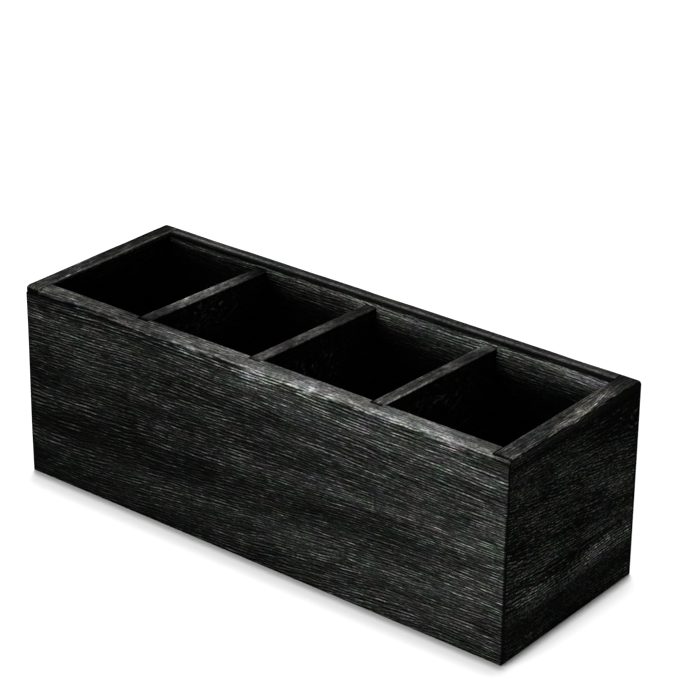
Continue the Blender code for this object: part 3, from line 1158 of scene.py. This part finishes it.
def end_level(t, z):
    v = np.clip((t + END_HALF) / (2 * END_HALF), 0, 1)
    d = HEIGHT - z
    tone = 18 + 3 * (1 - v) + 6 * bump(d, 15, 6) * (1 - 1.8 * v)
    # A pale band of straight lines crosses the lower half
    tone = tone + (17 + 7 * v) * bump(d, 71 + 1.5 * v, 4.2) * smooth(0.0, 0.2, v)
    tone = tone - 5 * (1 - v) * bump(d, 56, 5) + 5 * v**4 * bump(d, 56, 5)
    tone = tone + 3 * bump(d, 40, 20) * (1 - 0.8 * v) + 4 * bump(d, 45, 5)
    tone = tone + 4 * bump(d, 64, 5) + 3 * v * bump(d, 55, 6)
    tone = tone - 9 * smooth(79.0, 84.0, d) * (1 - 0.4 * v)
    tone = tone + 7 * smooth(86.0, 93.0, d) * (1 - 1.3 * bump(v, 0.55, 0.28))
    tone = tone - 4 * (1 - 0.6 * v) * (bump(d, 64.5, 3.5) + bump(d, 79.0, 3.0))
    tone = tone + 4 * (1 - v) * bump(d, 48, 4) - 6 * bump(v, 0.3, 0.15) * bump(d, 14, 4)
    tone = tone - 5 * bump(d, 5.5, 2.5) - 4 * v * np.exp(-d / 30.0)
    tone = tone + 8 * (1 - v) * bump(d, 2.6, 1.6)
    return 0.90 * tone / SIDE


def end_contrast(t, z):
    # Smoother along its back edge, crisper along its foot and at its top
    v = np.clip((t + END_HALF) / (2 * END_HALF), 0, 1)
    calm = 0.30 * smooth(0.8, 0.93, v) * smooth(30.0, 40.0, z)
    crisp = 0.16 * smooth(20.0, 8.0, z) + 0.34 * smooth(72.0, 86.0, z) * (1 - 0.6 * v)
    return 1.04 - calm + crisp


def end_comb(s):
    # Long straight lines in the lower part, short broken ones above
    return 0.3 + 1.3 * smooth(44.0, 32.0, s)


def end_drift(a, s):
    return 0.16 * smooth(88.0, 74.0, s) * smooth(18.0, 60.0, s) * a


def right_rim(t, q):
    v = np.clip((t + END_HALF) / (2 * END_HALF), 0, 1)
    tone = 57 + 8 * v + 24 * bump(v, 0.6, 0.22) * smooth(0.45, 0.75, q)
    tone = tone + 16 * smooth(0.25, 0.0, v) * smooth(0.55, 0.95, q)
    tone = tone - 11 * bump(v, 0.38, 0.10) * bump(q, 0.55, 0.2)
    tone = tone + 8 * smooth(0.12, 0.0, v)
    tone = tone - 10 * smooth(0.68, 0.8, v) - 26 * smooth(0.8, 0.92, v)
    tone = tone + 17 * smooth(0.14, 0.04, v) * smooth(0.5, 0.65, q)
    tone = tone + 15 * bump(v, 0.2, 0.08) * smooth(0.62, 0.5, q)
    tone = tone + 14 * bump(v, 0.38, 0.11) * smooth(0.45, 0.3, q)
    tone = tone - 10 * bump(v, 0.31, 0.07) * bump(q, 0.65, 0.2)
    tone = tone - 22 * bump(v, 0.46, 0.07) * bump(q, 0.68, 0.12)
    tone = tone - 28 * bump(v, 0.69, 0.06) * bump(q, 0.8, 0.1)
    tone = tone + 12 * bump(v, 0.82, 0.06) * smooth(0.35, 0.2, q)
    tone = tone - 10 * bump(v, 0.82, 0.07) * bump(q, 0.5, 0.15)
    shoulder = bump(v, 0.82, 0.09) + 0.6 * bump(v, 0.95, 0.06) + 0.9 * bump(v, 0.05, 0.1)
    tone = tone + 24 * shoulder * bump(q, 0.9, 0.05)
    # Painted highlight along the rounded outer edge, at its front half only
    outer = smooth(0.92, 0.985, q)
    line = 118 - 62 * smooth(0.08, 0.36, v) - 14 * smooth(0.36, 0.6, v)
    tone = tone * (1 - outer) + outer * line
    # Painted shade where the front panel's lip meets it
    tone = tone * (1 - 0.75 * smooth(1.7, 0.6, t + END_HALF))
    return tone / UP


def left_rim(t, q):
    v = np.clip((t + END_HALF) / (2 * END_HALF), 0, 1)
    tone = 36 + 30 * bump(q, 0.13, 0.08) - 22 * smooth(0.08, 0.0, q)
    tone = tone + 3 * smooth(0.2, 0.05, v) - 14 * bump(v, 0.19, 0.07) * smooth(0.28, 0.4, q)
    tone = tone - 15 * smooth(0.6, 0.7, v) + 6 * bump(v, 0.44, 0.05) * smooth(0.3, 0.5, q)
    return tone / UP


right = Board(
    "right_end_board",
    end_profile,
    end_stations(1.0),
    end_shape(end_profile),
    lambda t, d, z: np.stack((X1 - d, t, z), -1),
)
grain = Grain(51, 2 * END_HALF, end_profile.length, 1.2, end_drift, end_comb, 0.52)
values = finish_wall(
    right,
    grain,
    end_level,
    right_rim,
    inner_level(20, 10, 9.0),
    0.75,
    0.12,
    end_contrast,
    ease=0.25,
    calm=4.5,
    light=1.08,
)
dress(right.build(values), (wood_end, wood_cut), "right_end_panel")

left = Board(
    "left_end_board",
    end_profile,
    end_stations(1.0),
    end_shape(end_profile),
    lambda t, d, z: np.stack((X0 + d, t, z), -1),
)
grain = Grain(
    71,
    2 * END_HALF,
    end_profile.length,
    1.2,
    lambda a, s: -0.04 * a,
    end_comb,
    0.52,
)
values = finish_wall(
    left,
    grain,
    end_level,
    left_rim,
    inner_level(20, 10, 9.0),
    0.7,
    0.12,
    end_contrast,
    ease=0.25,
    calm=4.5,
    light=1.08,
)
dress(left.build(values), (wood_end, wood_cut), "left_end_panel")

# Cross boards
def crown_tone(i, v, q):
    """How light the top of cross board i is: v is 0 at its front and 1 at its back end, q is 0 at its left and 1 at its right edge."""
    if i == 0:
        return 90 * bump(v, 0.40, 0.44) * (1.25 - 0.5 * q)
    if i == 1:
        tone = 60 + 14 * bump(v, 0.07, 0.10) - 12 * bump(v, 0.27, 0.10)
        return tone - 26 * smooth(0.6, 0.86, v)
    tone = 62 + 16 * bump(v, 0.03, 0.12) - 9 * bump(v, 0.2, 0.1) - 12 * bump(v, 0.75, 0.10)
    return tone + 26 * smooth(0.72, 0.95, q) * smooth(0.6, 0.3, v) - 7 * bump(q, 0.5, 0.25)


for i, node in enumerate(DIVIDERS):
    low, high = box_mm(node)
    profile = divider_profile(high[0] - low[0], low[2], HEIGHT, 0.42)

    def shape(kind, t, pts, cut, low=low, high=high):
        along = (t - low[1]) / (high[1] - low[1])
        drop = DROP_FRONT + (DROP_BACK - DROP_FRONT) * along
        drop = drop + 0.9 * float(smooth(1.4, 0.0, t - low[1])) ** 1.5
        foot = low[2]
        pts[:, 1] = foot + (pts[:, 1] - foot) * (HEIGHT - drop - foot) / (HEIGHT - foot)
        return pts

    board = Board(
        node + "_board",
        profile,
        [
            (t, "full")
            for t in spread_stations(
                low[1] + 1.6,
                high[1],
                1.2,
                (),
                [low[1] + x for x in (0.0, 0.2, 0.5, 0.8, 1.2)],
            )
        ],
        shape,
        lambda t, d, z, x=low[0]: np.stack((x + d, t, z), -1),
    )
    grain = Grain(
        91 + 20 * i, high[1] - low[1], profile.length, 1.0, lambda a, s: 0.03 * a
    )
    streak, soft, cloud, band = grain(board.a, board.s)
    seg = board.seg
    deep = profile.p[None, :, 1].max() - board.points[..., 1]
    mottle = grain.mottle(board.a, board.s)
    top = np.isin(seg, (ROUND, RIM, EASE))
    lines = np.isin(seg, (ROUND, EASE))
    # The faces are dark, with faint grain and scuffed patches below the top
    stain = 0.13 * figure(0.32, streak, soft, cloud, band)
    along = (board.a - low[1]) / (high[1] - low[1])
    patch = bump(along, (0.5, 0.48, 0.5)[i], 0.36) * bump(deep, (11, 17, 10)[i], 13)
    patch = patch * (0.7, 0.88, 0.76)[i] * (0.7 + 0.3 * np.tanh(soft + cloud))
    scuff = np.where(top, 0.0, patch)
    uneven = 0.13 * streak + 0.15 * mottle + 0.18 * soft
    uneven = uneven - uneven[top].mean()
    across = board.points[..., 0] / (high[0] - low[0])
    crown = 0.96 * crown_tone(i, along, across) / UP * np.exp(uneven) + 0.05 * lines
    # Painted shade darkens the front end, down in its groove
    crown = crown * (0.12 + 0.88 * smooth(0.2, 1.5, board.a - low[1]))
    stain = np.where(top, crown, stain)
    stain = np.where(seg == CUTS, 0.05, stain)
    board.carve(
        np.clip(0.5 - 0.25 * streak, 0, 1.1)
        * np.where(top, 0.03, 0.07)
        * (seg != CUTS)
    )
    dress(
        board.build({"stain": np.clip(stain, 0, 1.1), "worn": top * 1.0, "scuff": scuff}),
        (wood_cross, wood_cut),
        node,
    )

# The bottom board keeps its own shape, with the brads' holes
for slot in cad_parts["bottom_panel"].material_slots:
    slot.material = wood_base

# Brads keep their own shape
for name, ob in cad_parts.items():
    if name.startswith("brad_"):
        for slot in ob.material_slots:
            slot.material = brad_steel

# ---------------------------------------------------------------------------
# Floor, light and camera
# ---------------------------------------------------------------------------

floor_mesh = bpy.data.meshes.new("floor")
floor_mesh.from_pydata(
    [(-12, -12, 0), (12, -12, 0), (12, 12, 0), (-12, 12, 0)], [], [(0, 1, 2, 3)]
)
floor = bpy.data.objects.new("floor", floor_mesh)
bpy.context.scene.collection.objects.link(floor)
floor_mat, tree, bsdf = nodes_of("pale_floor")
bsdf.inputs["Base Color"].default_value = (0.84, 0.84, 0.84, 1)
bsdf.inputs["Roughness"].default_value = 0.9
bsdf.inputs["Specular IOR Level"].default_value = 0.0
floor_mesh.materials.append(floor_mat)


def sun(name, azimuth, elevation, angle, strength):
    """A soft, even light from a direction: azimuth 0 is in front, 90 on the right."""
    data = bpy.data.lights.new(name, "SUN")
    data.energy = strength
    data.angle = math.radians(angle)
    ob = bpy.data.objects.new(name, data)
    a, e = math.radians(azimuth), math.radians(elevation)
    back = Vector((math.sin(a) * math.cos(e), -math.cos(a) * math.cos(e), math.sin(e)))
    ob.rotation_mode = "QUATERNION"
    ob.rotation_quaternion = (-back).to_track_quat("-Z", "Y")
    ob.location = back * 3
    bpy.context.scene.collection.objects.link(ob)
    return ob


sun("key_overhead", 220, 87.8, 2.6, 1.6)
sun("key_behind", 205, 82.7, 7.7, 1.61)
sun("fill_front", -25, 22, 40, 1.6)

world = bpy.data.worlds.new("studio")
bpy.context.scene.world = world
world.use_nodes = True
tree = world.node_tree
tree.nodes.clear()
out = tree.nodes.new("ShaderNodeOutputWorld")
seen = tree.nodes.new("ShaderNodeBackground")
seen.inputs["Color"].default_value = (1, 1, 1, 1)
seen.inputs["Strength"].default_value = 1.0
lit = tree.nodes.new("ShaderNodeBackground")
lit.inputs["Color"].default_value = (1, 1, 1, 1)
lit.inputs["Strength"].default_value = 0.3
path = tree.nodes.new("ShaderNodeLightPath")
mix = tree.nodes.new("ShaderNodeMixShader")
tree.links.new(path.outputs["Is Camera Ray"], mix.inputs[0])
tree.links.new(lit.outputs[0], mix.inputs[1])
tree.links.new(seen.outputs[0], mix.inputs[2])
tree.links.new(mix.outputs[0], out.inputs[0])

scene = bpy.context.scene
scene.view_settings.view_transform = "Standard"
scene.view_settings.look = "None"
scene.view_settings.exposure = 0.0
scene.view_settings.gamma = 1.0

cam_data = bpy.data.cameras.new("camera")
cam_data.sensor_width = 36.0
cam_data.lens = 128.0696
cam_data.clip_start = 0.05
cam_data.clip_end = 60.0
camera = bpy.data.objects.new("camera", cam_data)
bpy.context.scene.collection.objects.link(camera)
right_axis = (0.779729898, 0.626085391, 0.00619428)
up_axis = (-0.271745172, 0.329486868, 0.904208475)
back_axis = (0.564070783, -0.706721647, 0.427046444)
place = (0.6545426, -0.7987924, 0.5767913)
camera.matrix_world = Matrix(
    [[right_axis[i], up_axis[i], back_axis[i], place[i]] for i in range(3)]
    + [[0, 0, 0, 1]]
)
scene.camera = camera

bpy.context.view_layer.update()
